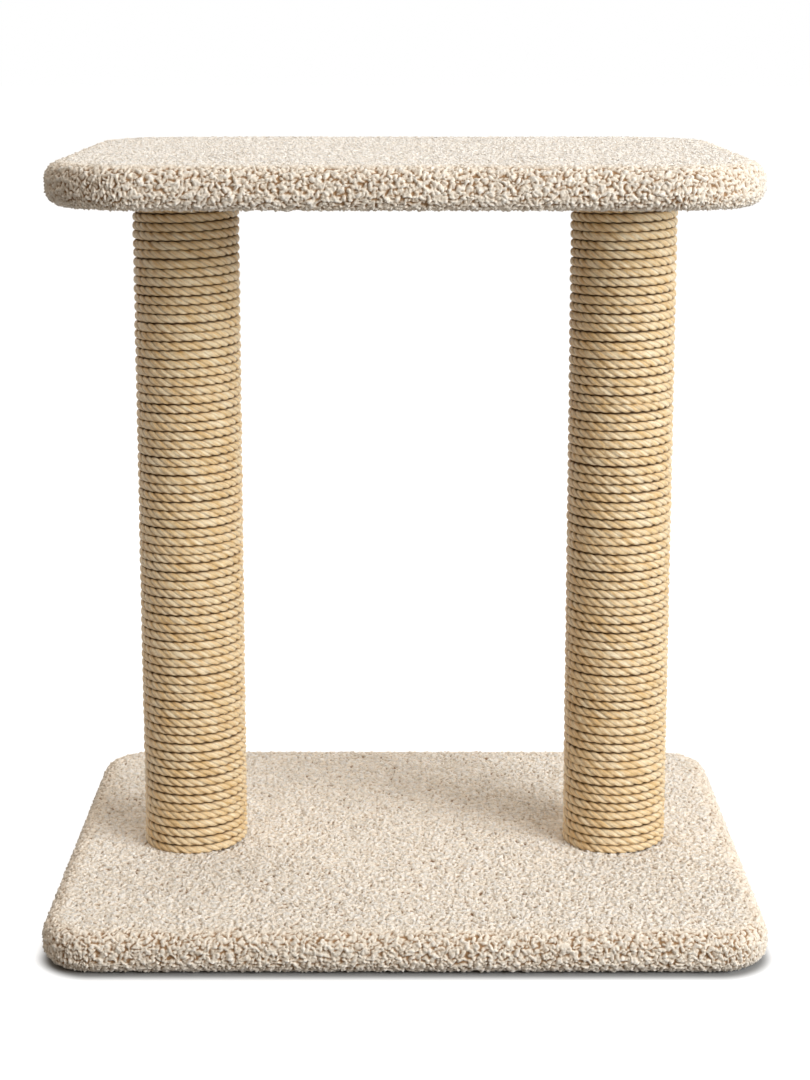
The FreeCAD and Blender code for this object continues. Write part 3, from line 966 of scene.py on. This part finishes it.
class SCRATCHING_POST_OT_stage(bpy.types.Operator):
    """Set up the white floor, the soft light and the camera"""

    bl_idname = "scratching_post.stage"
    bl_label = "Stage"

    def execute(self, context):
        settings = context.scene.stage_settings
        carpet = context.scene.carpet_settings
        scene = context.scene
        side = 20.0
        corners = [(-side, -side, 0.0), (side, -side, 0.0), (side, side, 0.0), (-side, side, 0.0)]
        mesh = bpy.data.meshes.new("floor")
        mesh.from_pydata(corners, [], [(0, 1, 2, 3)])
        floor = bpy.data.objects.new("floor", mesh)
        scene.collection.objects.link(floor)
        low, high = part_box("base_carpet")
        half = ((high[0] - low[0]) / 2, (high[1] - low[1]) / 2)
        mesh.materials.append(floor_finish(settings, half, carpet.base_corner))

        scene.world = scene.world or bpy.data.worlds.new("studio")
        world = Finish("studio", scene.world)
        seen = world.seen()
        way = world.node("TexCoord", output="Generated")
        rise = world.node("SeparateXYZ", None, {"Vector": way}, "Z")
        rise = rise.maths("MAXIMUM", rise, 0.0)
        light = settings.sky_low + (settings.sky_high - settings.sky_low) * rise
        strength = light + seen * (1.0 - light)
        colour = world.mix(rise.between(0.35, 0.95), settings.side_tint, settings.top_tint)
        colour = world.mix(seen, colour, (1.0, 1.0, 1.0))
        sky = world.node("Background", None, {"Color": colour, "Strength": strength})
        world.node("OutputWorld", None, {"Surface": sky})

        for kind in ("key", "fill", "back"):
            scene.collection.objects.link(area_lamp(settings, kind))

        camera = bpy.data.objects.new("camera", bpy.data.cameras.new("camera"))
        camera.data.lens = settings.lens
        camera.data.shift_y = settings.shift
        camera.location = (0.0, -settings.camera_distance, settings.camera_height)
        camera.rotation_euler = (math.pi / 2 - settings.camera_pitch, 0.0, 0.0)
        scene.collection.objects.link(camera)
        scene.camera = camera
        scene.view_settings.view_transform = "Standard"
        return {"FINISHED"}


class SCRATCHING_POST_PT_sidebar(bpy.types.Panel):
    """Sizes, colours and steps of the scratching post"""

    bl_label = "Scratching post"
    bl_idname = "SCRATCHING_POST_PT_sidebar"
    bl_space_type = "VIEW_3D"
    bl_region_type = "UI"
    bl_category = "Scratching post"

    def draw(self, context):
        for name in SETTINGS:
            group = getattr(context.scene, name)
            box = self.layout.box()
            for key in group.__annotations__:
                box.prop(group, key)
        for operator in OPERATORS:
            self.layout.operator(operator.bl_idname)


SETTINGS = {
    "carpet_settings": CarpetSettings,
    "rope_settings": RopeSettings,
    "core_settings": CoreSettings,
    "stage_settings": StageSettings,
}

OPERATORS = (
    SCRATCHING_POST_OT_base_carpet,
    SCRATCHING_POST_OT_platform_carpet,
    SCRATCHING_POST_OT_platform_lining,
    SCRATCHING_POST_OT_ropes,
    SCRATCHING_POST_OT_core,
    SCRATCHING_POST_OT_stage,
)

CLASSES = (*SETTINGS.values(), *OPERATORS, SCRATCHING_POST_PT_sidebar)


def register():
    for item in CLASSES:
        bpy.utils.register_class(item)
    for name, group in SETTINGS.items():
        setattr(bpy.types.Scene, name, PointerProperty(type=group))


def unregister():
    for name in SETTINGS:
        delattr(bpy.types.Scene, name)
    for item in reversed(CLASSES):
        bpy.utils.unregister_class(item)


def main():
    register()
    bpy.ops.scratching_post.base_carpet()
    bpy.ops.scratching_post.platform_carpet()
    bpy.ops.scratching_post.platform_lining()
    bpy.ops.scratching_post.ropes()
    bpy.ops.scratching_post.core()
    bpy.ops.scratching_post.stage()


if __name__ == "__main__":
    main()
